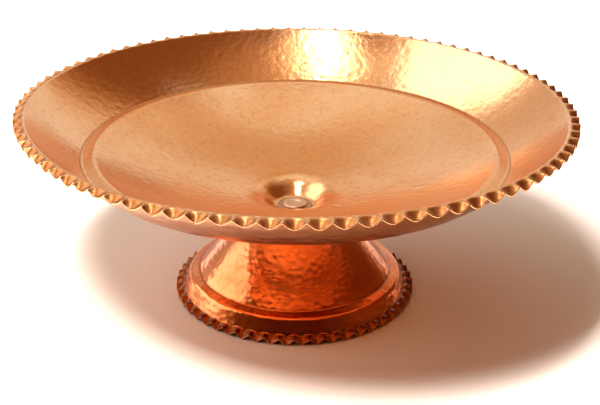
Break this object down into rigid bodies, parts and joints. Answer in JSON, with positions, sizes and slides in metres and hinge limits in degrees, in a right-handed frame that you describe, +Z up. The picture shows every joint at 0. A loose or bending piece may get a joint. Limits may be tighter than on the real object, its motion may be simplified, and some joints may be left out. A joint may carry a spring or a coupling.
{
  "type": "footed dish",
  "caption": "Wide shallow hammered copper dish with a crimped rim and dimpled concave well, riveted at its centre onto a flared foot with a crimped base.",
  "frame": {"origin": "on the dish's axis, in the plane of the table that the foot's crimped edge stands on", "axes": "+Z up along the axis of the dish; +X passes through a crest of the rim's crimping and a crest of the foot's"},
  "size_m": [0.38, 0.38, 0.1415],
  "materials": {
    "tray_copper": null,
    "foot_copper": null,
    "washer_copper": null,
    "rivet_copper": null
  },
  "bodies": {
    "root": {"tray_dish": "tray_copper", "foot": "foot_copper", "top_washer": "washer_copper", "backing_washer": "washer_copper", "centre_rivet": "rivet_copper"}
  },
  "joints": []
}
